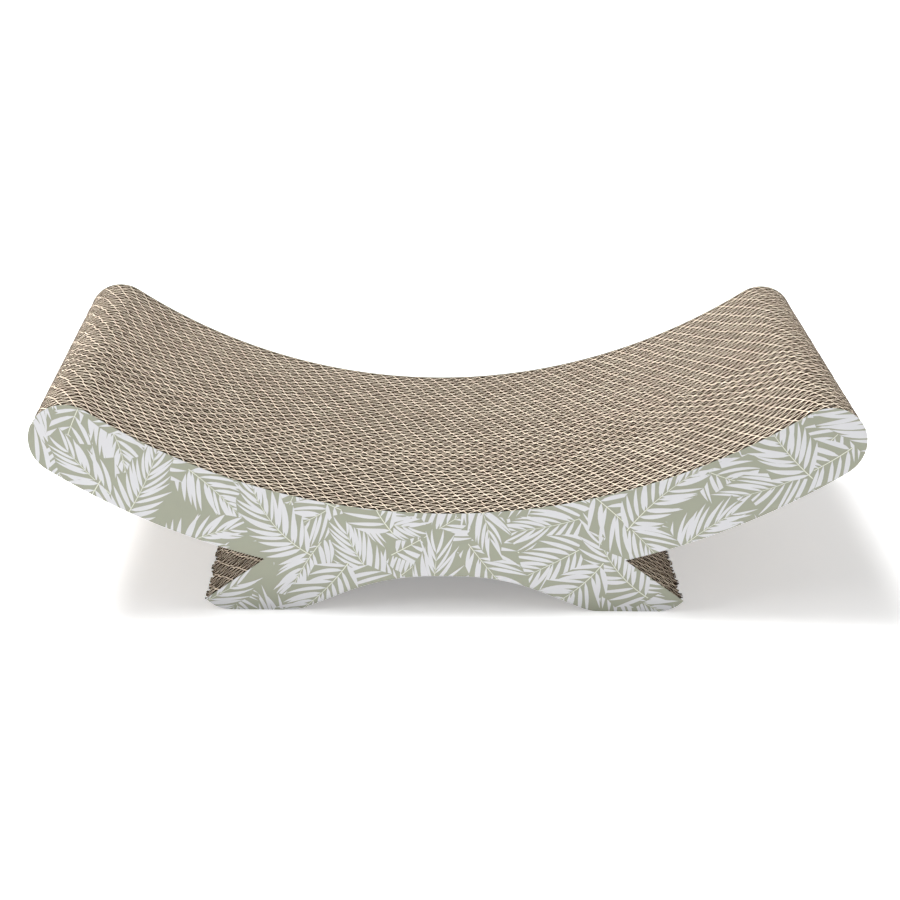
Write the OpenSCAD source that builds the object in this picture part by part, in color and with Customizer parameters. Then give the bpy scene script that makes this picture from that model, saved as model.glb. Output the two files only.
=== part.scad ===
// Cat scratcher lounge: a low bed that curves up at both ends. It is a stack of
// corrugated cardboard boards, all cut to one outline, standing on edge and glued
// face to face, with a thin printed cover glued over the front and the back.
// The flutes are open channels, and each drawn one stands for about two real ones.
// X runs along the length, Y runs through the stack from front to back, Z is up,
// and the origin is on the floor under the middle. Sizes are in millimetres.

/* [Stack] */
// Number of corrugated boards, front to back
board_count = 51; // [3:1:57]
// Thickness of one corrugated board
board_t = 4; // [3:0.1:5]
// Thickness of each printed cover
cover_t = 0.4; // [0.2:0.1:1]
// Distance from one modelled flute of a board to the next
flute_pitch = 18; // [14:0.5:24]
// Thickness of the flat paper on both sides of a board, and of the fluted paper
paper_t = 0.5; // [0.3:0.05:0.8]

/* [Bed] */
// Radius of the seat curve
seat_r = 337.3; // [300:0.1:380]
// Height of the lowest point of the seat above the floor
seat_h = 58.7; // [50:0.1:70]
// Thickness of the curved band, square to the seat
band_t = 40.4; // [34:0.1:46]
// Angle from the middle of the bed to the start of each round end
end_angle = 34.25; // [28:0.25:40]

/* [Feet] */
// Distance from the middle to the corner where a foot leaves the band
notch_x = 97.8; // [90:0.1:110]
// Slope of the top edge of a foot, down from that corner
instep_angle = 36.6; // [30:0.1:42]
// Distance from the middle to the inner end of the flat sole
sole_in_x = 85.5; // [80:0.1:95]
// Distance from the middle to the outer end of the flat sole
sole_out_x = 117; // [110:0.5:125]
// Radius of the heel, between the sole and the tip of the foot
heel_r = 18; // [12:0.5:22]
// Radius of the toe, between the sole and the arch
toe_r = 26; // [15:0.5:35]

/* [Arch] */
// Height of the arch between the feet
arch_h = 21.1; // [16:0.1:26]
// Length of the flat top of the arch
arch_flat = 14; // [4:0.5:24]
// Slope of the arch where it comes down to the feet
arch_angle = 23.5; // [20:0.25:28]

/* [Colours] */
// Colour of the raw cardboard
kraft_colour = "#c2ab8c";
// Colour of the printed covers
print_colour = "#b9bdae";

/* [Hidden] */
$fn = 240;
// Length by which a cutting shape runs past what it cuts
overrun = 2;
// Depth by which each straight edge crosses the round that it runs on into
bite = 0.02;

// Band: two circles about one centre, above the middle of the bed
centre_h = seat_h + seat_r;
under_r = seat_r + band_t;
middle_r = seat_r + band_t / 2;
sector_h = under_r + overrun;

// Corner between foot and band, and the height at which the feet end inside the band
notch_h = centre_h - sqrt(pow(under_r, 2) - pow(notch_x, 2));
join_h = (notch_h + seat_h) / 2;
instep_top_x = notch_x - (join_h - notch_h) / tan(instep_angle);
instep_floor_x = notch_x + notch_h / tan(instep_angle);

// Centre heights of the rounds at both ends of the sole
heel_h = heel_r - bite;
toe_h = toe_r - bite;
toe_x = sole_in_x - toe_r * sin(arch_angle);

// Straight flank of the arch: its distance from the origin, square to the flank, and
// where it meets the level at which the arch is cut off below the floor
flank_reach = sole_in_x * sin(arch_angle) - toe_h * (1 - cos(arch_angle));
flank_floor_x = (flank_reach + overrun * cos(arch_angle)) / sin(arch_angle);

// Round between the flank and the flat top of the arch
crown_x = arch_flat / 2;
crown_top_h = arch_h + bite;
crown_r = (flank_reach - crown_x * sin(arch_angle) - crown_top_h * cos(arch_angle) + bite)
    / (1 - cos(arch_angle));
crown_h = crown_top_h - crown_r;
flank_top_x = crown_x + (crown_r - bite) * sin(arch_angle);
flank_top_h = crown_h + (crown_r - bite) * cos(arch_angle);

stack_depth = board_count * board_t + 2 * cover_t;
front_y = -stack_depth / 2;

// Flutes: a zigzag sheet between the two liners, with a three-sided channel on each
// side of it for every flute. The channels stop short of the round ends.
flute_rise = board_t - 2 * paper_t;
flute_slope = atan(flute_rise / (flute_pitch / 2));
channel_half = flute_pitch / 2 - paper_t / 2 / sin(flute_slope);
channel_rise = flute_rise - paper_t / 2 / cos(flute_slope);
end_x = middle_r * sin(end_angle);
flute_count = floor((end_x - channel_half) / (flute_pitch / 2));
channel_top = seat_h + seat_r;

function two_digits(i) = i < 10 ? str("0", i) : str(i);
function board_name(i) = str("board_", two_digits(i));

// Upright rectangle in the outline, from one corner to the other
module slab(low_x, high_x, low_h, high_h) {
    translate([low_x, low_h])
        square([high_x - low_x, high_h - low_h]);
}

// Draws its children on both sides of the middle
module both_sides() {
    for (side = [0, 1])
        mirror([side, 0])
            children();
}

// Curved band that the animal lies in, with a round end on each side
module band() {
    translate([0, centre_h]) {
        intersection() {
            difference() {
                circle(r = under_r);
                circle(r = seat_r);
            }
            polygon([
                [0, 0],
                [-sector_h * tan(end_angle), -sector_h],
                [sector_h * tan(end_angle), -sector_h]
            ]);
        }
        for (side = [-1, 1])
            rotate(side * end_angle)
                translate([0, -middle_r])
                    circle(r = band_t / 2 + bite);
    }
}

// Block under the band, whose sloping sides are the tops of the feet
module pedestal() {
    polygon([
        [-instep_floor_x, 0],
        [instep_floor_x, 0],
        [instep_top_x, join_h],
        [-instep_top_x, join_h]
    ]);
}

// What rounds the corner between the right-hand sole and the arch
module toe_cut() {
    difference() {
        slab(toe_x, sole_in_x, -overrun, toe_h);
        translate([sole_in_x, toe_h])
            circle(r = toe_r);
    }
}

// What rounds the outer end of the right-hand foot
module heel_cut() {
    difference() {
        slab(sole_out_x, instep_floor_x + overrun, -overrun, heel_h);
        translate([sole_out_x, heel_h])
            circle(r = heel_r);
    }
}

// Opening between the feet, with a flat top, round crowns and straight flanks
module arch() {
    slab(-crown_x, crown_x, -overrun, arch_h);
    both_sides()
        translate([crown_x, crown_h])
            circle(r = crown_r);
    polygon([
        [-flank_floor_x, -overrun],
        [flank_floor_x, -overrun],
        [flank_top_x, flank_top_h],
        [-flank_top_x, flank_top_h]
    ]);
}

// Outline that every board and both covers are cut to
module outline() {
    difference() {
        union() {
            band();
            pedestal();
        }
        both_sides() {
            toe_cut();
            heel_cut();
        }
        arch();
    }
}

// Sheet cut to the outline, its front face at y and its back face at y + thickness
module sheet(y, thickness) {
    translate([0, y + thickness, 0])
        rotate([90, 0, 0])
            linear_extrude(height = thickness)
                outline();
}

// Upright three-sided channels between the liners of a board whose front face is at y.
// Every second one opens towards the rear liner.
module channels(y) {
    translate([0, y, -overrun])
        linear_extrude(height = channel_top + overrun)
            for (i = [-flute_count : flute_count])
                translate([i * flute_pitch / 2, i % 2 == 0 ? paper_t : board_t - paper_t])
                    mirror([0, abs(i) % 2])
                        polygon([[-channel_half, 0], [channel_half, 0], [0, channel_rise]]);
}

// One corrugated board, counted from the front
module board(i) {
    y = front_y + cover_t + (i - 1) * board_t;
    color(kraft_colour)
        difference() {
            sheet(y, board_t);
            channels(y);
        }
}

module front_cover() {
    color(print_colour)
        sheet(front_y, cover_t);
}

module rear_cover() {
    color(print_colour)
        sheet(-front_y - cover_t, cover_t);
}

front_cover();
for (i = [1 : board_count])
    board(i);
rear_cover();
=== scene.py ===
import math
import random

import bpy
import numpy as np
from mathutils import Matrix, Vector
from mathutils.geometry import delaunay_2d_cdt


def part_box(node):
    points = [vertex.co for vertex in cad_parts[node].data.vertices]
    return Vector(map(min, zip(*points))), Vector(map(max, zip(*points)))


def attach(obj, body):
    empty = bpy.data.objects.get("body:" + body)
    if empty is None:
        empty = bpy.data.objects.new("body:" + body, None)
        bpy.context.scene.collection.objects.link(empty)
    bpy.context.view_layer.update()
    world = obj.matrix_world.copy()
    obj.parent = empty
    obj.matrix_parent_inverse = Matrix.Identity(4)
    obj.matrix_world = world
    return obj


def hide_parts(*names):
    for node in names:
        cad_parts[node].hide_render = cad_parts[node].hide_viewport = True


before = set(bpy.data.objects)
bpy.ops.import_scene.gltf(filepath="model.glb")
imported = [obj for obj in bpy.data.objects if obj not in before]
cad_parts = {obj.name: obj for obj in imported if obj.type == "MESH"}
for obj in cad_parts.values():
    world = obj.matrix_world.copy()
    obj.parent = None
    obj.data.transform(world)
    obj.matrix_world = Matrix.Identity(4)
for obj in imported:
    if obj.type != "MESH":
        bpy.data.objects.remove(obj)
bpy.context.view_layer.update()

bl_info = {
    "name": "Corrugated Cat Scratcher",
    "version": (1, 0, 0),
    "blender": (4, 5, 0),
    "location": "3D View > Sidebar > Scratcher",
    "description": "Curved cat bed made of corrugated cardboard boards on edge",
    "category": "Add Mesh",
}

MM = 0.001
BOARD_NODES = sorted(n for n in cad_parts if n.startswith("board_"))
# How near two places along the bed are when they count as one, in metres
SAME_PLACE = 1e-6
# Where the length of the bed starts in the map, and how much of the map it takes
MAP_START, MAP_LENGTH = 0.01, 0.98


def cad_depth(node):
    """How deep a CAD node is from front to back."""
    low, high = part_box(node)
    return high[1] - low[1]


class OutlineSizes(bpy.types.PropertyGroup):
    """The outline that every board and both covers are cut to"""

    seat_radius: bpy.props.FloatProperty(
        name="Seat Radius",
        description="Radius of the seat curve",
        default=337.3 * MM,
        unit="LENGTH",
    )
    seat_height: bpy.props.FloatProperty(
        name="Seat Height",
        description="Height of the lowest point of the seat above the floor",
        default=58.7 * MM,
        unit="LENGTH",
    )
    band_thickness: bpy.props.FloatProperty(
        name="Band Thickness",
        description="Thickness of the curved band, square to the seat",
        default=40.4 * MM,
        unit="LENGTH",
    )
    end_angle: bpy.props.FloatProperty(
        name="End Angle",
        description="Angle from the middle of the bed to the start of each round end",
        default=math.radians(34.25),
        subtype="ANGLE",
    )
    notch_x: bpy.props.FloatProperty(
        name="Notch Distance",
        description="Distance from the middle to the corner where a foot leaves the band",
        default=97.8 * MM,
        unit="LENGTH",
    )
    instep_angle: bpy.props.FloatProperty(
        name="Instep Angle",
        description="Slope of the top edge of a foot",
        default=math.radians(36.6),
        subtype="ANGLE",
    )
    sole_in_x: bpy.props.FloatProperty(
        name="Sole Start",
        description="Distance from the middle to the inner end of the flat sole",
        default=85.5 * MM,
        unit="LENGTH",
    )
    sole_out_x: bpy.props.FloatProperty(
        name="Sole End",
        description="Distance from the middle to the outer end of the flat sole",
        default=117 * MM,
        unit="LENGTH",
    )
    heel_radius: bpy.props.FloatProperty(
        name="Heel Radius",
        description="Radius between the sole and the tip of the foot",
        default=18 * MM,
        unit="LENGTH",
    )
    toe_radius: bpy.props.FloatProperty(
        name="Toe Radius",
        description="Radius between the sole and the arch",
        default=26 * MM,
        unit="LENGTH",
    )
    arch_height: bpy.props.FloatProperty(
        name="Arch Height",
        description="Height of the arch between the feet",
        default=21.1 * MM,
        unit="LENGTH",
    )
    arch_flat: bpy.props.FloatProperty(
        name="Arch Flat",
        description="Length of the flat top of the arch",
        default=14 * MM,
        unit="LENGTH",
    )
    arch_angle: bpy.props.FloatProperty(
        name="Arch Angle",
        description="Slope of the arch where it comes down to the feet",
        default=math.radians(23.5),
        subtype="ANGLE",
    )


class BoardSizes(bpy.types.PropertyGroup):
    """The corrugated boards and their raw cardboard"""

    board_thickness: bpy.props.FloatProperty(
        name="Board Thickness",
        description="Thickness of one corrugated board",
        default=cad_depth(BOARD_NODES[0]),
        unit="LENGTH",
    )
    flute_length: bpy.props.FloatProperty(
        name="Flute Length",
        description="Distance from one flute to the next",
        default=7.9 * MM,
        unit="LENGTH",
    )
    liner_thickness: bpy.props.FloatProperty(
        name="Liner Thickness",
        description="Thickness of the flat paper on both sides of a board",
        default=0.28 * MM,
        unit="LENGTH",
    )
    flute_thickness: bpy.props.FloatProperty(
        name="Flute Thickness",
        description="Thickness of the wavy paper between the liners",
        default=0.43 * MM,
        unit="LENGTH",
    )
    flute_skew: bpy.props.FloatProperty(
        name="Flute Skew",
        description="How much steeper the flutes fall than they rise, from left to right",
        default=0.58,
    )
    flute_steps: bpy.props.IntProperty(
        name="Steps per Flute",
        description="Flat faces along one flute",
        default=12,
    )
    unevenness: bpy.props.FloatProperty(
        name="Unevenness",
        description="About how far the cut of a board lies inside the outline",
        default=0.6 * MM,
        unit="LENGTH",
    )
    tip_wear: bpy.props.FloatProperty(
        name="Tip Wear",
        description="How much shorter, or half as much longer, the tip of a foot may be",
        default=1.3 * MM,
        unit="LENGTH",
    )
    seed: bpy.props.IntProperty(
        name="Seed",
        description="Chooses how the flutes of neighbouring boards fall",
        default=7,
    )
    # Far darker than real brown paper: painted shade that stands in for the dark deep inside
    # the flutes, which is all that shows of these faces
    painted_shade_wall_colour: bpy.props.FloatVectorProperty(
        name="Paper Colour with Painted Shade",
        description="Colour of the faces of the brown paper, darkened as painted shade of the deep flutes",
        default=(0.05, 0.028, 0.014),
        subtype="COLOR",
        min=0,
        max=1,
    )
    edge_colour: bpy.props.FloatVectorProperty(
        name="Cut Edge Colour",
        description="Colour of the freshly cut edges of the paper",
        default=(0.98, 0.815, 0.635),
        subtype="COLOR",
        min=0,
        max=1,
    )


class PrintSizes(bpy.types.PropertyGroup):
    """The palm print on both covers"""

    frond_spacing: bpy.props.FloatProperty(
        name="Frond Spacing",
        description="Distance from one palm frond to the next in a row",
        default=34 * MM,
        unit="LENGTH",
    )
    row_spacing: bpy.props.FloatProperty(
        name="Row Spacing",
        description="Distance from one row of fronds to the next",
        default=25 * MM,
        unit="LENGTH",
    )
    frond_length: bpy.props.FloatProperty(
        name="Frond Length",
        description="Length of a middling frond along its rib",
        default=56 * MM,
        unit="LENGTH",
    )
    leaflet_length: bpy.props.FloatProperty(
        name="Leaflet Length",
        description="Length of the longest leaflets of a frond",
        default=24 * MM,
        unit="LENGTH",
    )
    leaflet_width: bpy.props.FloatProperty(
        name="Leaflet Width",
        description="Width of a leaflet at its widest",
        default=2.75 * MM,
        unit="LENGTH",
    )
    leaflet_pairs: bpy.props.IntProperty(
        name="Leaflet Pairs",
        description="Pairs of leaflets on a middling frond, below the pair at its tip",
        default=13,
    )
    rib_width: bpy.props.FloatProperty(
        name="Rib Width",
        description="Width of the rib of a frond",
        default=0.5 * MM,
        unit="LENGTH",
    )
    seed: bpy.props.IntProperty(
        name="Seed",
        description="Chooses how the fronds fall",
        default=3,
    )
    ground_colour: bpy.props.FloatVectorProperty(
        name="Ground Colour",
        description="Sage green between the fronds",
        default=(0.345, 0.355, 0.275),
        subtype="COLOR",
        min=0,
        max=1,
    )
    frond_colour: bpy.props.FloatVectorProperty(
        name="Frond Colour",
        description="Pale grey of the leaflets",
        default=(0.69, 0.69, 0.71),
        subtype="COLOR",
        min=0,
        max=1,
    )
    rib_colour: bpy.props.FloatVectorProperty(
        name="Rib Colour",
        description="Pale cream of the ribs",
        default=(0.76, 0.77, 0.66),
        subtype="COLOR",
        min=0,
        max=1,
    )


class StageSizes(bpy.types.PropertyGroup):
    """The plain floor, the soft lights and the camera"""

    floor_colour: bpy.props.FloatVectorProperty(
        name="Floor Colour",
        description="Colour of the floor",
        default=(0.90, 0.90, 0.90),
        subtype="COLOR",
        min=0,
        max=1,
    )
    room_light: bpy.props.FloatProperty(
        name="Room Light",
        description="Strength of the even light from all round",
        default=0.265,
    )
    camera_height: bpy.props.FloatProperty(
        name="Camera Height",
        description="Height of the camera above the floor",
        default=467.2 * MM,
        unit="LENGTH",
    )
    camera_distance: bpy.props.FloatProperty(
        name="Camera Distance",
        description="Distance of the camera in front of the middle of the object",
        default=963.7 * MM,
        unit="LENGTH",
    )
    camera_x: bpy.props.FloatProperty(
        name="Camera Place",
        description="Distance of the camera to the right of the middle of the object",
        default=-22.4 * MM,
        unit="LENGTH",
    )
    camera_pitch: bpy.props.FloatProperty(
        name="Camera Pitch",
        description="How far the camera looks down",
        default=math.radians(23.32),
        subtype="ANGLE",
    )
    camera_turn: bpy.props.FloatProperty(
        name="Camera Turn",
        description="How far the camera is turned to the left",
        default=math.radians(0.62),
        subtype="ANGLE",
    )
    camera_lens: bpy.props.FloatProperty(
        name="Camera Lens",
        description="Focal length for a picture 36 mm wide, in millimetres",
        default=70.99,
    )
    camera_shift: bpy.props.FloatProperty(
        name="Camera Shift",
        description="How far the lens is shifted, as a share of the picture's width",
        default=0.0706,
    )


class Outline:
    """Heights of the cut line over the distance from the middle of the bed, in metres."""

    # Turns round a round end, in degrees from upright, at which a sheet gets an edge
    END_TURNS = (60, 65, 70, 75, 80, 84, 88)
    # Share of a step under which two edges of a sheet would lie too close
    CLOSE_SHARE = 0.3
    # Points round a round end in the outline of the print
    END_POINTS = 28

    def __init__(self, sizes):
        self.seat_r = sizes.seat_radius
        self.under_r = sizes.seat_radius + sizes.band_thickness
        self.centre_z = sizes.seat_height + sizes.seat_radius
        self.angle = sizes.end_angle
        self.end_r = sizes.band_thickness / 2
        middle_r = self.seat_r + self.end_r
        self.end_x = middle_r * math.sin(self.angle)
        self.end_z = self.centre_z - middle_r * math.cos(self.angle)
        self.reach = self.end_x + self.end_r
        self.notch_x = sizes.notch_x
        self.notch_z = self.centre_z - math.sqrt(self.under_r**2 - self.notch_x**2)
        self.instep_angle = sizes.instep_angle
        self.sole_in, self.sole_out = sizes.sole_in_x, sizes.sole_out_x
        self.heel_r, self.toe_r = sizes.heel_radius, sizes.toe_radius
        self.arch_h = sizes.arch_height
        self.crown_x = sizes.arch_flat / 2
        self.slope = sizes.arch_angle
        sin, cos = math.sin(self.slope), math.cos(self.slope)
        self.flank = self.sole_in * sin - self.toe_r * (1 - cos)
        rise = self.flank - self.crown_x * sin - self.arch_h * cos
        self.crown_r = rise / (1 - cos)
        self.flank_top = self.crown_x + self.crown_r * sin
        self.toe_x = self.sole_in - self.toe_r * sin
        self.tip_x = self.find_tip()

    def find_tip(self):
        """Where the top edge of a foot meets the round of its heel."""
        run, drop = math.cos(self.instep_angle), -math.sin(self.instep_angle)
        across, up = self.notch_x - self.sole_out, self.notch_z - self.heel_r
        along = run * across + drop * up
        reach = math.sqrt(along**2 - across**2 - up**2 + self.heel_r**2) - along
        return self.notch_x + reach * run

    def arc(self, radius, x):
        """Half the height of a circle at a distance x from its middle."""
        return np.sqrt(np.maximum(radius**2 - x**2, 0))

    def seat(self, x):
        """Top of the band."""
        x = np.abs(x)
        curve = self.centre_z - self.arc(self.seat_r, x)
        round_end = self.end_z + self.arc(self.end_r, x - self.end_x)
        return np.where(x < self.seat_r * math.sin(self.angle), curve, round_end)

    def under(self, x):
        """Underside of the band."""
        x = np.maximum(np.abs(x), self.notch_x)
        curve = self.centre_z - self.arc(self.under_r, x)
        round_end = self.end_z - self.arc(self.end_r, x - self.end_x)
        return np.where(x < self.under_r * math.sin(self.angle), curve, round_end)

    def instep(self, x):
        """Top edge of a foot."""
        return self.notch_z - (np.abs(x) - self.notch_x) * math.tan(self.instep_angle)

    def floor(self, x):
        """Underside of the arch and the feet."""
        x = np.abs(x)
        crown = self.arch_h - self.crown_r + self.arc(self.crown_r, x - self.crown_x)
        flank = (self.flank - x * math.sin(self.slope)) / math.cos(self.slope)
        toe = self.toe_r - self.arc(self.toe_r, x - self.sole_in)
        heel = self.heel_r - self.arc(self.heel_r, x - self.sole_out)
        return np.select(
            [
                x < self.crown_x,
                x < self.flank_top,
                x < self.toe_x,
                x < self.sole_in,
                x < self.sole_out,
            ],
            [self.arch_h, crown, flank, toe, 0.0 * x],
            heel,
        )

    def covers(self, ring, margin):
        """Whether any of a ring's points lies on the sheet, or nearly."""
        x, z = np.array(ring).T
        away = np.abs(x)
        in_band = (z > self.under(away) - margin) & (z < self.seat(away) + margin)
        in_foot = (z > self.floor(away) - margin) & (z < self.instep(away) + margin)
        in_body = (z > self.floor(away) - margin) & (z < self.seat(away) + margin)
        outer = away > self.notch_x
        found = np.where(outer, in_band | in_foot & (away < self.tip_x + margin), in_body)
        return bool(np.any(found & (away < self.reach + margin)))

    def columns(self, step):
        """Places along the bed at which a sheet of paper gets its edges, end to end."""
        far = self.end_x + self.end_r * np.sin(np.radians(self.END_TURNS))
        forced = [self.notch_x, self.tip_x]
        near = np.arange(0, far[0] - step / 2, step)
        for x in forced:
            near = near[np.abs(near - x) > step * self.CLOSE_SHARE]
        half = np.sort(np.concatenate([near, forced, far]))
        return np.concatenate([-half[:0:-1], half])

    def loop(self, step):
        """The whole outline as points, once round against the clock."""
        ground = np.arange(0, self.tip_x, step)
        ground = np.append(ground, self.tip_x)
        half = [(x, z) for x, z in zip(ground, self.floor(ground))]
        below = np.arange(self.notch_x, self.under_r * math.sin(self.angle), step)
        half += [(x, z) for x, z in zip(below, self.under(below))]
        first, last = self.angle - math.pi / 2, self.angle + math.pi / 2
        for turn in np.linspace(first, last, self.END_POINTS):
            x = self.end_x + self.end_r * math.cos(turn)
            z = self.end_z + self.end_r * math.sin(turn)
            half.append((x, z))
        above = np.arange(self.seat_r * math.sin(self.angle) - step, 0, -step)
        half += [(x, z) for x, z in zip(above, self.seat(above))]
        half.append((0.0, float(self.seat(0.0))))
        left = [(-x, z) for x, z in half[-2:0:-1]]
        return half + left


def numbered(chosen, start):
    """Vertex numbers for the chosen columns, -1 for the others, and the next number."""
    numbers = np.full(len(chosen), -1)
    count = int(chosen.sum())
    numbers[chosen] = start + np.arange(count)
    return numbers, start + count


def map_along(x, outline):
    """Place in the map of a place along the bed."""
    return MAP_START + MAP_LENGTH * (x / (2 * outline.reach) + 0.5)


# Finishes of the faces of a board
LINER, CUT, FLUTE = range(3)
# Sheets of a board, from the front to the back
SHEET_COUNT = 3
FRONT_SHEET, FLUTE_SHEET, REAR_SHEET = range(SHEET_COUNT)


class SheetPlan:
    """Faces of one upright sheet of paper, cut to the outline.

    Its two sides are walls, and its cut edge is a strip of faces all round. The
    walls and strips have their own rows in the map, so that no two overlap."""

    # Rows of walls in the map, the share of its height that they take, and where in
    # its row a wall starts and how much of the row it takes
    WALL_ROWS = 2 * SHEET_COUNT
    WALL_SHARE = 0.9
    WALL_START, WALL_FILL = 0.03, 0.94
    # The strips, and where in its row a strip starts and how much of the row it takes
    STRIPS = ("seat", "under", "instep", "floor")
    STRIP_START, STRIP_FILL = 0.15, 0.7

    def __init__(self, outline, x, sheet):
        self.outline, self.x, self.sheet = outline, x, sheet
        away = np.abs(x)
        self.notch = np.abs(away - outline.notch_x) < SAME_PLACE
        self.body = away <= outline.notch_x + SAME_PLACE
        self.outer = away >= outline.notch_x - SAME_PLACE
        self.foot = away <= outline.tip_x + SAME_PLACE
        self.rows, count = [], 0
        for side in range(2):
            row = {}
            row["seat"], count = numbered(np.full(len(x), True), count)
            row["under"], count = numbered(self.outer, count)
            row["instep"], count = numbered(self.foot & ~self.body, count)
            row["floor"], count = numbered(self.foot, count)
            row["instep"] = np.where(self.notch, row["under"], row["instep"])
            self.rows.append(row)
        self.count = count
        self.faces, self.finishes, self.uvs = [], [], []
        self.make_faces()

    def wall_point(self, side, name, i):
        """Map place of a wall's vertex."""
        height = float(getattr(self.outline, name)(self.x[i]))
        top = self.outline.end_z + self.outline.end_r
        row = self.sheet * 2 + side
        share = self.WALL_SHARE / self.WALL_ROWS
        up = share * (row + self.WALL_START + self.WALL_FILL * height / top)
        return map_along(self.x[i], self.outline), up

    def strip_point(self, side, name, i):
        """Map place of a cut edge's vertex."""
        row = self.sheet * len(self.STRIPS) + self.STRIPS.index(name)
        share = (1 - self.WALL_SHARE) / (SHEET_COUNT * len(self.STRIPS))
        up = self.WALL_SHARE + share * (row + self.STRIP_START + self.STRIP_FILL * side)
        return map_along(self.x[i], self.outline), up

    def face(self, corners, finish, reverse):
        """Adds a face through corners of (side, name, column)."""
        if reverse:
            corners = corners[::-1]
        self.faces.append([int(self.rows[s][n][i]) for s, n, i in corners])
        self.finishes.append(finish)
        place = self.strip_point if finish == CUT else self.wall_point
        self.uvs += [place(*c) for c in corners]

    def make_faces(self):
        """Walls first, then the cut edges and the ends."""
        last = len(self.x) - 1
        for side in range(2):
            for i in range(last):
                self.wall(side, i)
        for i in range(last):
            self.strip("seat", i, False)
            if self.outer[i] and self.outer[i + 1]:
                self.strip("under", i, True)
            if self.foot[i] and self.foot[i + 1]:
                self.strip("floor", i, True)
                if self.outer[i] and self.outer[i + 1]:
                    self.strip("instep", i, False)
        tips = np.nonzero(np.abs(np.abs(self.x) - self.outline.tip_x) < SAME_PLACE)[0]
        self.cap("under", "seat", 0, True)
        self.cap("under", "seat", last, False)
        self.cap("floor", "instep", int(tips[0]), True)
        self.cap("floor", "instep", int(tips[-1]), False)

    def wall(self, side, i):
        """The wall between one column and the next, on one side of the sheet."""
        finish = FLUTE if self.sheet == FLUTE_SHEET else LINER
        j = i + 1
        if self.body[i] and self.body[j]:
            ring = [(side, "floor", i), (side, "floor", j)]
            if self.notch[j]:
                ring.append((side, "under", j))
            ring += [(side, "seat", j), (side, "seat", i)]
            if self.notch[i]:
                ring.append((side, "under", i))
            self.face(ring, finish, side == 1)
            return
        low_high = [("under", "seat")]
        if self.foot[i] and self.foot[j]:
            low_high.append(("floor", "instep"))
        for low, high in low_high:
            ring = [(side, low, i), (side, low, j), (side, high, j), (side, high, i)]
            self.face(ring, finish, side == 1)

    def strip(self, name, i, reverse):
        """A piece of cut edge between one column and the next."""
        ring = [(0, name, i), (0, name, i + 1), (1, name, i + 1), (1, name, i)]
        self.face(ring, CUT, reverse)

    def cap(self, low, high, i, reverse):
        """The end of the cut edge at one column."""
        ring = [(0, low, i), (1, low, i), (1, high, i), (0, high, i)]
        self.face(ring, CUT, reverse)

    def points(self, y, thickness, cut, tips):
        """Places of the vertices for a sheet that runs along y.

        cut is how far each column ends below the seat or above the floor, and tips
        how much longer each foot is."""
        slope = np.gradient(y, self.x)
        length = np.sqrt(1 + slope**2)
        places = np.zeros((self.count, 3))
        for side, row in enumerate(self.rows):
            out = (side - 0.5) * thickness
            px = self.x - out * slope / length
            py = y + out / length
            for name in self.STRIPS:
                number = row[name]
                own = number >= 0
                if name == "instep":
                    own = own & ~self.notch
                x = np.clip(px[own], -self.outline.reach, self.outline.reach)
                z = getattr(self.outline, name)(x)
                below = name in ("seat", "instep")
                z = z - cut[own] if below else z + cut[own]
                if name in ("instep", "floor"):
                    start = self.outline.sole_out
                    share = (np.abs(x) - start) / (self.outline.tip_x - start)
                    longer = np.where(x < 0, -tips[0], tips[1])
                    x = x + longer * np.clip(share, 0, 1)
                places[number[own]] = np.stack([x, py[own], z], axis=1)
        return places


# Distance from one column of a liner to the next, as a share of the length of a flute
LINER_STEP_SHARE = 0.4
# How deep a whole board, its slow waves and its ragged edge are cut, as shares of the
# unevenness
BOARD_CUT_SHARES = (0.1, 0.6)
SLOW_CUT_SHARE = 0.3
RAGGED_CUT_SHARE = 0.35
# How much longer the tips of the feet are, as shares of the tip wear; below 0 is shorter
TIP_SHARES = (-1, 0.5)
# How far the flutes drift to the sides, in radians
LONG_DRIFT, SHORT_DRIFT = 0.35, 0.2
# How fast the drifts and the slow waves of the cut turn along the bed, in radians a metre
LONG_DRIFT_TURN, SHORT_DRIFT_TURN, SLOW_CUT_TURN = 11, 29, 23


def board_plan(outline, sizes):
    """The three sheets of a board: front liner, flutes and rear liner."""
    fine = outline.columns(sizes.flute_length / sizes.flute_steps)
    coarse = outline.columns(sizes.flute_length * LINER_STEP_SHARE)
    return [
        SheetPlan(outline, coarse, FRONT_SHEET),
        SheetPlan(outline, fine, FLUTE_SHEET),
        SheetPlan(outline, coarse, REAR_SHEET),
    ]


def flute_line(x, sizes, middle_y, phase, slack):
    """How the flutes run from front to back along the bed."""
    paper = sizes.flute_thickness
    height = (sizes.board_thickness - 2 * sizes.liner_thickness - paper) / 2
    long_drift = LONG_DRIFT * np.sin(x * LONG_DRIFT_TURN + slack)
    short_drift = SHORT_DRIFT * np.sin(x * SHORT_DRIFT_TURN + 2 * slack)
    turn = 2 * math.pi / sizes.flute_length * x + phase + (long_drift + short_drift)
    return middle_y + height * np.sin(turn - sizes.flute_skew * np.sin(turn))


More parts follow.
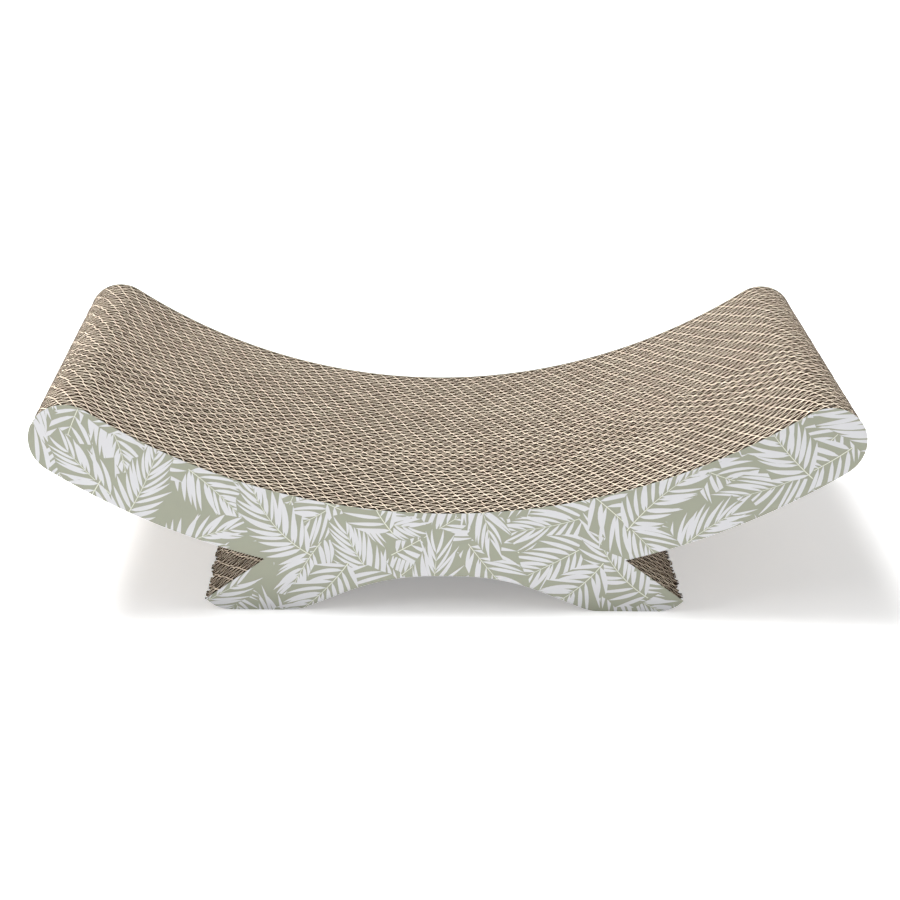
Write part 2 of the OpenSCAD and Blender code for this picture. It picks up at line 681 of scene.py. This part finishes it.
def board_points(plan, sizes, middle_y, phase, rng):
    """Places of a board's vertices, with the small faults of a real cut."""
    uneven = sizes.unevenness
    base = rng.uniform(*BOARD_CUT_SHARES) * uneven
    tips = rng.uniform(*TIP_SHARES, 2) * sizes.tip_wear
    slack = rng.uniform(0, 2 * math.pi)
    parts = []
    for part in plan:
        x = part.x
        if part.sheet == FLUTE_SHEET:
            paper = sizes.flute_thickness
            y = flute_line(x, sizes, middle_y, phase, slack)
        else:
            paper = sizes.liner_thickness
            offset = (part.sheet - FLUTE_SHEET) * (sizes.board_thickness - paper) / 2
            y = np.full(len(x), middle_y + offset)
        ragged = rng.uniform(0, RAGGED_CUT_SHARE, len(x)) * uneven
        slow = SLOW_CUT_SHARE * uneven * (1 + np.sin(x * SLOW_CUT_TURN + slack)) / 2
        parts.append(part.points(y, paper, base + slow + ragged, tips))
    return np.concatenate(parts)


def plan_faces(plan):
    """Faces, finishes and map of a whole board."""
    faces, finishes, uvs, start = [], [], [], 0
    for part in plan:
        faces += [[v + start for v in face] for face in part.faces]
        finishes += part.finishes
        uvs += part.uvs
        start += part.count
    return faces, finishes, np.array(uvs)


def shade_smooth(mesh, degrees):
    """Smooth faces, with sharp edges where they turn by more than the angle."""
    mesh.polygons.foreach_set("use_smooth", [True] * len(mesh.polygons))
    mesh.set_sharp_from_angle(angle=math.radians(degrees))


def new_piece(name, mesh):
    """A new object in the scene that holds the mesh."""
    piece = bpy.data.objects.new(name, mesh)
    bpy.context.scene.collection.objects.link(piece)
    return piece


# Kinds of printed faces, from the lowest, and the number of the bare card's kind
PRINT_KINDS = ("ground", "frond", "rib")
BARE_CARD = len(PRINT_KINDS)
# Straight pieces along a rib and along the middle of a leaflet
RIB_STEPS, LEAFLET_STEPS = 24, 7
# Powers that shape a leaflet: the first draws its widest place towards the root, and the
# second makes it fuller
SWELL_PLACE, SWELL_FULLNESS = 0.75, 0.8
# How large a frond is against a middling one, and how far its rib bends, in radians
FROND_SCALES = (0.85, 1.15)
RIB_BENDS = (0.15, 0.75)
# Share of the rib below its first leaflets, and what its width loses on the way to its tip
STALK_SHARE = 0.08
RIB_TAPER_SHARE = 0.6
# Lean of the leaflets from the rib in degrees: at the root, what it loses up to the tip
# of the frond, and how far a single leaflet strays
ROOT_LEAN, LEAN_LOSS, LEAN_STRAY = 67, 40, 3
# Length of a leaflet at the root, what it gains over the first part of the rib, how long
# that part is, and what it loses up to the tip of the frond
LOW_LENGTH_SHARE, GAIN_SHARE, GAIN_PART_SHARE, TIP_LOSS_SHARE = 0.7, 0.3, 0.35, 0.4
# What the width of the leaflets loses up to the tip of the frond
WIDTH_LOSS_SHARE = 0.42
# How leaflets differ in length and width, and how far one shifts towards its neighbours
LENGTH_SHARES = (0.9, 1.1)
WIDTH_SHARES = (0.8, 1.15)
SHIFT_SHARE = 0.2
# Bend of a leaflet in radians; below 0 it curls towards the tip of the frond
CURLS = (-0.6, -0.1)
# Share of a middling frond that lies before its place in the layout
ROOT_SHARE = 0.6
# The first of the four directions of the fronds and the turn to the next, in degrees
FIRST_HEADING, HEADING_STEP = 45, 90
# How far a frond strays from its place in the rows, as a share of their spacing, and
# from its direction, in degrees
PLACE_STRAY_SHARE, HEADING_STRAY = 0.12, 16
# Length of the straight pieces of the printed outline, and how far outside it a shape may
# lie and still be kept
OUTLINE_STEP, OUTLINE_MARGIN = 2 * MM, 1 * MM
# How near two points of the print are when they count as one, in millimetres
PRINT_NEAR = 1e-4
# Where the printed side and the bare sides start in the map, and the height of each
PRINT_ROW, BARE_ROW, ROW_HEIGHT = 0.01, 0.52, 0.46


def stem(root, heading, length, bend, steps):
    """Points and headings along a stem that bends evenly."""
    points, headings = [np.array(root, float)], [heading]
    for _ in range(steps):
        heading += bend / steps
        step = length / steps
        points.append(points[-1] + step * np.array([math.cos(heading), math.sin(heading)]))
        headings.append(heading)
    return points, headings


def ribbon(points, headings, widths):
    """A closed strip round a line of points, with pointed ends where a width is 0."""
    left, right = [], []
    for point, heading, width in zip(points, headings, widths):
        side = np.array([-math.sin(heading), math.cos(heading)]) * width / 2
        left.append(tuple(point + side))
        if width > 0:
            right.append(tuple(point - side))
    return right + left[::-1]


def leaflet(root, heading, length, width, bend):
    """One lance-shaped leaflet, widest nearer its root, and its tip."""
    points, headings = stem(root, heading, length, bend, LEAFLET_STEPS)
    widths = [0.0]
    for i in range(1, LEAFLET_STEPS):
        place = (i / LEAFLET_STEPS) ** SWELL_PLACE
        widths.append(width * math.sin(math.pi * place) ** SWELL_FULLNESS)
    widths.append(0.0)
    return ribbon(points, headings, widths), tuple(points[-1])


def frond(rng, root, heading, sizes):
    """Shapes of one palm frond, from the lowest to the highest.

    The lowest is a patch of ground as wide as the frond, which clears the fronds below."""
    scale = rng.uniform(*FROND_SCALES)
    length = sizes.frond_length * scale
    bend = rng.choice([-1, 1]) * rng.uniform(*RIB_BENDS)
    points, headings = stem(root, heading, length, bend, RIB_STEPS)
    leaves, right, left = [], [], []
    pairs = sizes.leaflet_pairs + rng.randint(-1, 1)
    for i in range(pairs + 1):
        t = STALK_SHARE + (1 - STALK_SHARE) * i / pairs
        k = min(int(t * RIB_STEPS), RIB_STEPS)
        full = LOW_LENGTH_SHARE + GAIN_SHARE * min(1, t / GAIN_PART_SHARE)
        for side, tips in ((-1, right), (1, left)):
            stray = rng.uniform(-LEAN_STRAY, LEAN_STRAY)
            lean = math.radians(stray + ROOT_LEAN - LEAN_LOSS * t)
            long = sizes.leaflet_length * scale * full
            long *= (1 - TIP_LOSS_SHARE * t**3) * rng.uniform(*LENGTH_SHARES)
            wide = sizes.leaflet_width * rng.uniform(*WIDTH_SHARES)
            wide *= 1 - WIDTH_LOSS_SHARE * t
            shift = rng.uniform(-SHIFT_SHARE, SHIFT_SHARE) * length / pairs
            along = np.array([math.cos(headings[k]), math.sin(headings[k])])
            start = points[k] + along * shift
            curl = side * rng.uniform(*CURLS)
            leaf, tip = leaflet(start, headings[k] + side * lean, long, wide, curl)
            leaves.append((leaf, "frond"))
            tips.append(tip)
    taper = [1 - RIB_TAPER_SHARE * i / RIB_STEPS for i in range(RIB_STEPS)] + [0.0]
    widths = [sizes.rib_width * share for share in taper]
    patch = [tuple(root)] + right + left[::-1]
    return [(patch, "ground"), *leaves, (ribbon(points, headings, widths), "rib")]


def frond_layout(rng, outline, sizes):
    """Middles and headings of the fronds, in staggered rows that lean both ways."""
    placed = []
    across = int(outline.reach / sizes.frond_spacing) + 1
    top = outline.end_z + outline.end_r
    for row in range(int(top / sizes.row_spacing) + 2):
        for column in range(-across, across + 1):
            x = (column + 0.5 * (row % 2)) * sizes.frond_spacing
            z = row * sizes.row_spacing
            x += rng.uniform(-PLACE_STRAY_SHARE, PLACE_STRAY_SHARE) * sizes.frond_spacing
            z += rng.uniform(-PLACE_STRAY_SHARE, PLACE_STRAY_SHARE) * sizes.row_spacing
            quarter = (column + row) % 2 + 2 * ((column // 2 + row) % 2)
            stray = rng.uniform(-HEADING_STRAY, HEADING_STRAY)
            turn = math.radians(FIRST_HEADING + HEADING_STEP * quarter + stray)
            placed.append((x, z, turn))
    rng.shuffle(placed)
    return placed


def inside(ring, x, z):
    """Which of the places lie inside a closed ring of points."""
    within = np.zeros(len(x), bool)
    for (x0, z0), (x1, z1) in zip(ring, ring[1:] + ring[:1]):
        if z0 != z1:
            crossed = (z0 > z) != (z1 > z)
            within ^= crossed & (x < x0 + (x1 - x0) * (z - z0) / (z1 - z0))
    return within


def topmost(shapes, x, z):
    """Number of the highest shape over each place."""
    order = np.argsort(x)
    x, z = x[order], z[order]
    top = np.zeros(len(x), int)
    for number, (ring, _) in enumerate(shapes):
        low, high = np.min(ring, axis=0), np.max(ring, axis=0)
        start, stop = np.searchsorted(x, (low[0], high[0]))
        near = start + np.nonzero((z[start:stop] > low[1]) & (z[start:stop] < high[1]))[0]
        top[near[inside(ring, x[near], z[near])]] = number
    places = np.empty_like(order)
    places[order] = np.arange(len(order))
    return top[places]


def enclosed(made, count):
    """Which triangles of a mesh lie within the ring of its first edges."""
    walls = {
        frozenset(edge)
        for edge, origins in zip(made[1], made[4])
        if any(origin < count for origin in origins)
    }
    beside = {}
    for number, face in enumerate(made[2]):
        for edge in zip(face, face[1:] + face[:1]):
            beside.setdefault(frozenset(edge), []).append(number)
    links = {number: [] for number in range(len(made[2]))}
    todo = []
    for edge, faces in beside.items():
        if edge in walls:
            continue
        if len(faces) == 1:
            todo.append(faces[0])
        else:
            links[faces[0]].append(faces[1])
            links[faces[1]].append(faces[0])
    within = np.ones(len(made[2]), bool)
    while todo:
        number = todo.pop()
        if within[number]:
            within[number] = False
            todo += links[number]
    return within


def print_faces(outline, sizes, seed):
    """The printed face cut into ground, fronds and ribs: points, faces and kinds."""
    rng = random.Random(seed)
    shapes = [(outline.loop(OUTLINE_STEP), "ground")]
    middle = ROOT_SHARE * sizes.frond_length
    for x, z, heading in frond_layout(rng, outline, sizes):
        root = np.array([x - middle * math.cos(heading), z - middle * math.sin(heading)])
        for ring, kind in frond(rng, root, heading, sizes):
            if outline.covers(ring, OUTLINE_MARGIN):
                shapes.append((ring, kind))
    points, edges = [], []
    for ring, _ in shapes:
        numbers = list(range(len(points), len(points) + len(ring)))
        edges += zip(numbers, numbers[1:] + numbers[:1])
        points += [Vector((x / MM, z / MM)) for x, z in ring]
    made = delaunay_2d_cdt(points, edges, [], 0, PRINT_NEAR, True)
    _, faces, kinds = painted(made, shapes, len(shapes[0][0]))
    rim, borders = kind_borders(faces, kinds)
    used, corners = np.unique(np.concatenate([rim, borders]), return_inverse=True)
    points = [made[0][v] for v in used]
    edges = corners.reshape(-1, 2).tolist()
    made = delaunay_2d_cdt(points, edges, [], 0, PRINT_NEAR, True)
    return painted(made, shapes, len(rim))


def painted(made, shapes, count):
    """Places, triangles and kinds of what lies within the mesh's first edges."""
    places = np.array([(p.x, p.y) for p in made[0]]) * MM
    faces = np.array(made[2])[enclosed(made, count)]
    middles = places[faces].mean(axis=1)
    top = topmost(shapes, middles[:, 0], middles[:, 1])
    kinds = np.array([PRINT_KINDS.index(kind) for _, kind in shapes])[top]
    return places, faces, kinds


def kind_borders(faces, kinds):
    """Edges at the rim, and edges between one kind and another."""
    edges = np.concatenate([faces[:, [0, 1]], faces[:, [1, 2]], faces[:, [2, 0]]])
    sides = np.tile(kinds, 3)
    edges = np.sort(edges, axis=1)
    order = np.lexsort((edges[:, 1], edges[:, 0]))
    edges, sides = edges[order], sides[order]
    same = np.all(edges[1:] == edges[:-1], axis=1)
    inner = np.append(same, False) | np.insert(same, 0, False)
    differ = np.append(same & (sides[1:] != sides[:-1]), False)
    return edges[~inner], edges[differ]


def rim_of(faces):
    """The one closed ring of edges that only one face uses, in the faces' direction."""
    edges = set()
    for face in faces:
        for a, b in zip(face, face[1:] + face[:1]):
            if (b, a) in edges:
                edges.remove((b, a))
            else:
                edges.add((a, b))
    after = dict(edges)
    ring = [next(iter(after))]
    while after[ring[-1]] != ring[0]:
        ring.append(after[ring[-1]])
    if len(ring) != len(edges):
        raise RuntimeError("the print does not fill the cover in one piece")
    return ring


def cover_mesh(name, outline, sizes, seed, print_y, glue_y):
    """A closed sheet with the print on the side at print_y."""
    places, faces, kinds = print_faces(outline, sizes, seed)
    used, corners = np.unique(faces, return_inverse=True)
    points = [(x, print_y, z) for x, z in places[used].tolist()]
    faces, kinds = corners.reshape(-1, 3).tolist(), kinds.tolist()
    rim = rim_of(faces)
    back = {v: len(points) + i for i, v in enumerate(rim)}
    points += [(points[v][0], glue_y, points[v][2]) for v in rim]
    for a, b in zip(rim, rim[1:] + rim[:1]):
        faces.append([b, a, back[a], back[b]])
        kinds.append(BARE_CARD)
    faces.append([back[v] for v in rim[::-1]])
    kinds.append(BARE_CARD)
    if print_y > glue_y:
        faces = [face[::-1] for face in faces]
    mesh = bpy.data.meshes.new(name)
    mesh.from_pydata(points, [], faces)
    mesh.polygons.foreach_set("material_index", kinds)
    uv = mesh.uv_layers.new(name="OFBake")
    top = outline.end_z + outline.end_r
    for polygon in mesh.polygons:
        row = BARE_ROW if kinds[polygon.index] == BARE_CARD else PRINT_ROW
        for k in polygon.loop_indices:
            place = mesh.vertices[mesh.loops[k].vertex_index].co
            up = row + ROW_HEIGHT * place.z / top
            uv.data[k].uv = (map_along(place.x, outline), up)
    return mesh


class Finish:
    """A material with a Principled shader, and short ways to add nodes to it."""

    def __init__(self, name, roughness):
        self.material = bpy.data.materials.new(name)
        self.material.use_nodes = True
        self.tree = self.material.node_tree
        self.shader = self.tree.nodes["Principled BSDF"]
        self.shader.inputs["Roughness"].default_value = roughness
        self.place = self.tree.nodes.new("ShaderNodeTexCoord").outputs["Object"]

    def add(self, kind, **inputs):
        """A new node. A socket is joined, anything else is set on the input."""
        node = self.tree.nodes.new(kind)
        for name, value in inputs.items():
            socket = node.inputs[name.replace("_", " ")]
            if isinstance(value, bpy.types.NodeSocket):
                self.tree.links.new(value, socket)
            else:
                socket.default_value = value
        return node

    def stretched(self, scale):
        """Places on the object, scaled along each axis."""
        node = self.add("ShaderNodeMapping", Vector=self.place)
        node.inputs["Scale"].default_value = scale
        return node.outputs["Vector"]

    def noise(self, scale, detail, place=None):
        """Soft noise from 0 to 1."""
        node = self.add(
            "ShaderNodeTexNoise",
            Vector=place or self.place,
            Scale=scale,
            Detail=detail,
        )
        return node.outputs[0]

    def span(self, value, low=0.0, high=1.0, to_low=0.0, to_high=1.0):
        """Maps low to high onto to_low to to_high."""
        node = self.add("ShaderNodeMapRange", Value=value)
        for index, number in enumerate((low, high, to_low, to_high), 1):
            node.inputs[index].default_value = number
        return node.outputs[0]

    def blend(self, share, first, second):
        """Colour between two, by share."""
        node = self.tree.nodes.new("ShaderNodeMix")
        node.data_type = "RGBA"
        self.tree.links.new(share, node.inputs[0])
        for index, colour in ((6, first), (7, second)):
            if isinstance(colour, bpy.types.NodeSocket):
                self.tree.links.new(colour, node.inputs[index])
            else:
                node.inputs[index].default_value = (*colour[:3], 1)
        return node.outputs[2]

    def colour(self, socket):
        """Sets the shader's colour."""
        self.tree.links.new(socket, self.shader.inputs["Base Color"])

    def rough(self, socket):
        """Sets the shader's roughness."""
        self.tree.links.new(socket, self.shader.inputs["Roughness"])

    def bump(self, height, distance, strength):
        """Sets the shader's normal from a height."""
        node = self.add("ShaderNodeBump", Height=height)
        node.inputs["Distance"].default_value = distance
        node.inputs["Strength"].default_value = strength
        self.tree.links.new(node.outputs[0], self.shader.inputs["Normal"])


def scaled(colour, factor):
    """A lighter or darker colour."""
    return tuple(min(1.0, c * factor) for c in colour)


def kraft_paper(name, colour, spread):
    """Brown paper, with soft blotches and fine fibres that run upright."""
    finish = Finish(name, roughness=0.9)
    blotch = finish.span(finish.noise(scale=45, detail=3), low=0.3, high=0.7)
    place = finish.stretched((1.0, 1.0, 0.2))
    fibres = finish.span(finish.noise(scale=2400, detail=3, place=place), low=0.3, high=0.7)
    tone = finish.blend(blotch, scaled(colour, 1 - spread), scaled(colour, 1 + spread))
    dark = scaled(colour, 1 - 1.6 * spread)
    finish.colour(finish.blend(finish.span(fibres, to_high=0.45), tone, dark))
    finish.rough(finish.span(fibres, to_low=0.82, to_high=0.95))
    finish.bump(fibres, distance=0.05 * MM, strength=0.5)
    return finish.material


def cut_paper(name, colour):
    """Freshly cut paper edge: pale, with darker nicks where it was torn or pressed."""
    finish = Finish(name, roughness=0.92)
    nicks = finish.span(finish.noise(scale=700, detail=3), low=0.42, high=0.62)
    broad = finish.span(finish.noise(scale=60, detail=2), low=0.35, high=0.65)
    tone = finish.blend(broad, scaled(colour, 0.94), scaled(colour, 1.06))
    dark = scaled(colour, 0.6)
    finish.colour(finish.blend(finish.span(nicks, to_high=0.55), tone, dark))
    finish.rough(finish.span(nicks, to_low=0.88, to_high=0.96))
    finish.bump(finish.noise(scale=3000, detail=3), distance=0.05 * MM, strength=0.5)
    return finish.material


def printed_paper(name, colour, spread):
    """Smooth printed paper: nearly even ink over faint fibres."""
    finish = Finish(name, roughness=0.6)
    mottle = finish.span(finish.noise(scale=120, detail=4), low=0.3, high=0.7)
    tone = finish.blend(mottle, scaled(colour, 1 - spread), scaled(colour, 1 + spread))
    finish.colour(tone)
    finish.rough(finish.span(mottle, to_low=0.55, to_high=0.66))
    finish.bump(finish.noise(scale=1800, detail=3), distance=0.03 * MM, strength=0.3)
    return finish.material


# Each lamp's place and width in metres, and its power in watts
LAMPS = {
    "top_lamp": ((-0.8, 0.45, 2.3), 0.95, 89),
    "left_lamp": ((-1.9, -0.38, 0.6), 1.0, 26),
    "right_lamp": ((1.9, -0.4, 0.6), 1.0, 17),
}
# The place that the lamps shine at, about the middle of the object
LAMP_TARGET = Vector((0, 0, 0.06))
# How far the floor reaches on each side and lies below the feet, in metres
FLOOR_REACH, FLOOR_DROP = 8.0, 0.1 * MM
# How far the colour of the floor strays to both sides, as a share
FLOOR_SPREAD = 0.005
# The floor's own glow for the camera: its strength under the object and far away, and
# the distances from the middle between which it rises
GLOW_UNDER, GLOW_AWAY = 0.32, 0.75
GLOW_START, GLOW_END = 0.3, 1.2
# Width of the camera's picture, in millimetres
PICTURE_WIDTH = 36


def soft_lamp(name, place, size, power):
    """A big soft square lamp that shines at the object."""
    data = bpy.data.lights.new(name, "AREA")
    data.size = size
    data.energy = power
    lamp = bpy.data.objects.new(name, data)
    lamp.location = place
    away = LAMP_TARGET - lamp.location
    lamp.rotation_euler = away.to_track_quat("-Z", "Y").to_euler()
    bpy.context.scene.collection.objects.link(lamp)


def camera_only(tree):
    """1 for what the camera sees itself or in a gloss or glass, 0 for other light."""
    path = tree.nodes.new("ShaderNodeLightPath")
    first = tree.nodes.new("ShaderNodeMath")
    second = tree.nodes.new("ShaderNodeMath")
    first.operation = second.operation = "MAXIMUM"
    tree.links.new(path.outputs["Is Camera Ray"], first.inputs[0])
    tree.links.new(path.outputs["Is Glossy Ray"], first.inputs[1])
    tree.links.new(first.outputs[0], second.inputs[0])
    tree.links.new(path.outputs["Is Transmission Ray"], second.inputs[1])
    return second.outputs[0]


# How many neighbouring boards form a run: from the first number to below the second
RUN_BOARDS = (5, 15)
# Step from one board's flutes to the next, as a share of a flute: most runs, the other
# runs, how many are of the first kind, and how far a single step strays
STEP_SHARES, WIDE_STEP_SHARES = (0.18, 0.27), (0.4, 0.6)
NARROW_RUNS_SHARE = 0.9
STEP_STRAY_SHARE = 0.03
# Shade of the flutes against the liners, and of the covers' edges against their ground
FLUTE_SHADE, COVER_EDGE_SHADE = 0.94, 0.6
# How far the colour of each paper strays to both sides, as a share
LINER_SPREAD, FLUTE_SPREAD, COVER_EDGE_SPREAD = 0.08, 0.10, 0.05
GROUND_SPREAD, FROND_SPREAD = 0.02, 0.015
# Faces that meet at a larger angle, in degrees, keep a sharp edge
SHARP_ANGLE = 50


class SCRATCHER_OT_add_boards(bpy.types.Operator):
    """Add the corrugated boards, with their flutes standing on end"""

    bl_idname = "scratcher.add_boards"
    bl_label = "Add Corrugated Boards"

    def execute(self, context):
        sizes = context.scene.scratcher_boards
        outline = Outline(context.scene.scratcher_outline)
        plan = board_plan(outline, sizes)
        faces, finishes, uvs = plan_faces(plan)
        # The liner and flute papers both take the wall colour, which is darkened as painted
        # shade of the deep flutes
        painted_shade_flute_colour = scaled(sizes.painted_shade_wall_colour, FLUTE_SHADE)
        liner = kraft_paper("kraft_liner_painted_shade", sizes.painted_shade_wall_colour, LINER_SPREAD)
        flutes = kraft_paper("kraft_flutes_painted_shade", painted_shade_flute_colour, FLUTE_SPREAD)
        edge = cut_paper("kraft_cut_edge", sizes.edge_colour)
        rng = np.random.default_rng(sizes.seed)
        phase, run = 0.0, 0
        for node in BOARD_NODES:
            low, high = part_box(node)
            if run == 0:
                run = int(rng.integers(*RUN_BOARDS))
                narrow = rng.uniform() < NARROW_RUNS_SHARE
                step = rng.uniform(*(STEP_SHARES if narrow else WIDE_STEP_SHARES))
            run -= 1
            stray = rng.uniform(-STEP_STRAY_SHARE, STEP_STRAY_SHARE)
            phase += 2 * math.pi * (step + stray)
            middle_y = (low[1] + high[1]) / 2
            points = board_points(plan, sizes, middle_y, phase, rng)
            mesh = bpy.data.meshes.new(node + "_paper")
            mesh.from_pydata(points.tolist(), [], faces)
            for material in (liner, edge, flutes):
                mesh.materials.append(material)
            mesh.polygons.foreach_set("material_index", finishes)
            uv = mesh.uv_layers.new(name="OFBake")
            uv.data.foreach_set("uv", uvs.ravel())
            shade_smooth(mesh, SHARP_ANGLE)
            piece = new_piece(node + "_paper", mesh)
            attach(piece, "root")
            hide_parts(node)
        return {"FINISHED"}


class SCRATCHER_OT_add_covers(bpy.types.Operator):
    """Add the printed covers on the front and the back"""

    bl_idname = "scratcher.add_covers"
    bl_label = "Add Printed Covers"

    def execute(self, context):
        sizes = context.scene.scratcher_print
        outline = Outline(context.scene.scratcher_outline)
        edge_colour = scaled(sizes.ground_colour, COVER_EDGE_SHADE)
        card = kraft_paper("cover_edge", edge_colour, COVER_EDGE_SPREAD)
        finishes = [
            printed_paper("print_ground", sizes.ground_colour, GROUND_SPREAD),
            printed_paper("print_frond", sizes.frond_colour, FROND_SPREAD),
            printed_paper("print_rib", sizes.rib_colour, FROND_SPREAD),
            card,
        ]
        for order, node in enumerate(("front_cover", "rear_cover")):
            low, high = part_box(node)
            near, far = (low[1], high[1]) if order == 0 else (high[1], low[1])
            name = node + "_print"
            mesh = cover_mesh(name, outline, sizes, sizes.seed + order, near, far)
            for material in finishes:
                mesh.materials.append(material)
            piece = new_piece(name, mesh)
            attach(piece, "root")
            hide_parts(node)
        return {"FINISHED"}


class SCRATCHER_OT_set_stage(bpy.types.Operator):
    """Set up the plain floor, the soft lights and the camera"""

    bl_idname = "scratcher.set_stage"
    bl_label = "Set Stage"

    def execute(self, context):
        sizes = context.scene.scratcher_stage
        self.add_floor(sizes)
        self.light_room(sizes)
        for name, (place, size, power) in LAMPS.items():
            soft_lamp(name, place, size, power)
        self.add_camera(context, sizes)
        return {"FINISHED"}

    def add_floor(self, sizes):
        """A plain pale floor that keeps the object's shadow."""
        mesh = bpy.data.meshes.new("floor")
        far, down = FLOOR_REACH, -FLOOR_DROP
        corners = [(-far, -far, down), (far, -far, down), (far, far, down), (-far, far, down)]
        mesh.from_pydata(corners, [], [(0, 1, 2, 3)])
        floor = new_piece("floor", mesh)
        finish = Finish("floor_paint", roughness=0.9)
        speck = finish.span(finish.noise(scale=8, detail=2), low=0.3, high=0.7)
        dark = scaled(sizes.floor_colour, 1 - FLOOR_SPREAD)
        light = scaled(sizes.floor_colour, 1 + FLOOR_SPREAD)
        finish.colour(finish.blend(speck, dark, light))
        tree = finish.tree
        glow = finish.add("ShaderNodeEmission", Color=(1, 1, 1, 1))
        away = tree.nodes.new("ShaderNodeVectorMath")
        away.operation = "LENGTH"
        tree.links.new(finish.place, away.inputs[0])
        ends = (GLOW_START, GLOW_END, GLOW_UNDER, GLOW_AWAY)
        rise = finish.span(away.outputs["Value"], *ends)
        seen = tree.nodes.new("ShaderNodeMath")
        seen.operation = "MULTIPLY"
        tree.links.new(rise, seen.inputs[0])
        tree.links.new(camera_only(tree), seen.inputs[1])
        tree.links.new(seen.outputs[0], glow.inputs["Strength"])
        both = tree.nodes.new("ShaderNodeAddShader")
        tree.links.new(finish.shader.outputs[0], both.inputs[0])
        tree.links.new(glow.outputs[0], both.inputs[1])
        tree.links.new(both.outputs[0], tree.nodes["Material Output"].inputs["Surface"])
        mesh.materials.append(finish.material)

    def light_room(self, sizes):
        """Even light from all round, in front of a white backdrop."""
        world = bpy.data.worlds.new("studio")
        bpy.context.scene.world = world
        world.use_nodes = True
        tree = world.node_tree
        back = tree.nodes["Background"]
        back.inputs["Color"].default_value = (1, 1, 1, 1)
        level = tree.nodes.new("ShaderNodeMapRange")
        tree.links.new(camera_only(tree), level.inputs[0])
        level.inputs[3].default_value = sizes.room_light
        level.inputs[4].default_value = 1.0
        tree.links.new(level.outputs[0], back.inputs["Strength"])

    def add_camera(self, context, sizes):
        """The camera, at the height and angle of the photograph."""
        data = bpy.data.cameras.new("camera")
        data.sensor_width = PICTURE_WIDTH
        data.lens = sizes.camera_lens
        data.shift_x = sizes.camera_shift
        camera = bpy.data.objects.new("camera", data)
        camera.location = (sizes.camera_x, -sizes.camera_distance, sizes.camera_height)
        camera.rotation_euler = (math.pi / 2 - sizes.camera_pitch, 0, sizes.camera_turn)
        context.scene.collection.objects.link(camera)
        context.scene.camera = camera
        context.scene.view_settings.view_transform = "Standard"


class SCRATCHER_PT_panel(bpy.types.Panel):
    """Sizes and steps of the cat scratcher"""

    bl_label = "Cat Scratcher"
    bl_idname = "SCRATCHER_PT_panel"
    bl_space_type = "VIEW_3D"
    bl_region_type = "UI"
    bl_category = "Scratcher"

    def draw(self, context):
        for title, name in GROUPS:
            box = self.layout.box()
            box.label(text=title)
            group = getattr(context.scene, name)
            for key in group.__annotations__:
                box.prop(group, key)
        for operator in OPERATORS:
            self.layout.operator(operator.bl_idname)


PROPERTIES = {
    "scratcher_outline": OutlineSizes,
    "scratcher_boards": BoardSizes,
    "scratcher_print": PrintSizes,
    "scratcher_stage": StageSizes,
}
GROUPS = (
    ("Outline", "scratcher_outline"),
    ("Boards", "scratcher_boards"),
    ("Print", "scratcher_print"),
    ("Stage", "scratcher_stage"),
)
OPERATORS = (
    SCRATCHER_OT_add_boards,
    SCRATCHER_OT_add_covers,
    SCRATCHER_OT_set_stage,
)
CLASSES = (*PROPERTIES.values(), *OPERATORS, SCRATCHER_PT_panel)


def register():
    for item in CLASSES:
        bpy.utils.register_class(item)
    for name, group in PROPERTIES.items():
        setattr(bpy.types.Scene, name, bpy.props.PointerProperty(type=group))


def unregister():
    for name in PROPERTIES:
        delattr(bpy.types.Scene, name)
    for item in reversed(CLASSES):
        bpy.utils.unregister_class(item)


def main():
    """Builds the object and its stage."""
    register()
    bpy.ops.scratcher.add_boards()
    bpy.ops.scratcher.add_covers()
    bpy.ops.scratcher.set_stage()


if __name__ == "__main__":
    main()
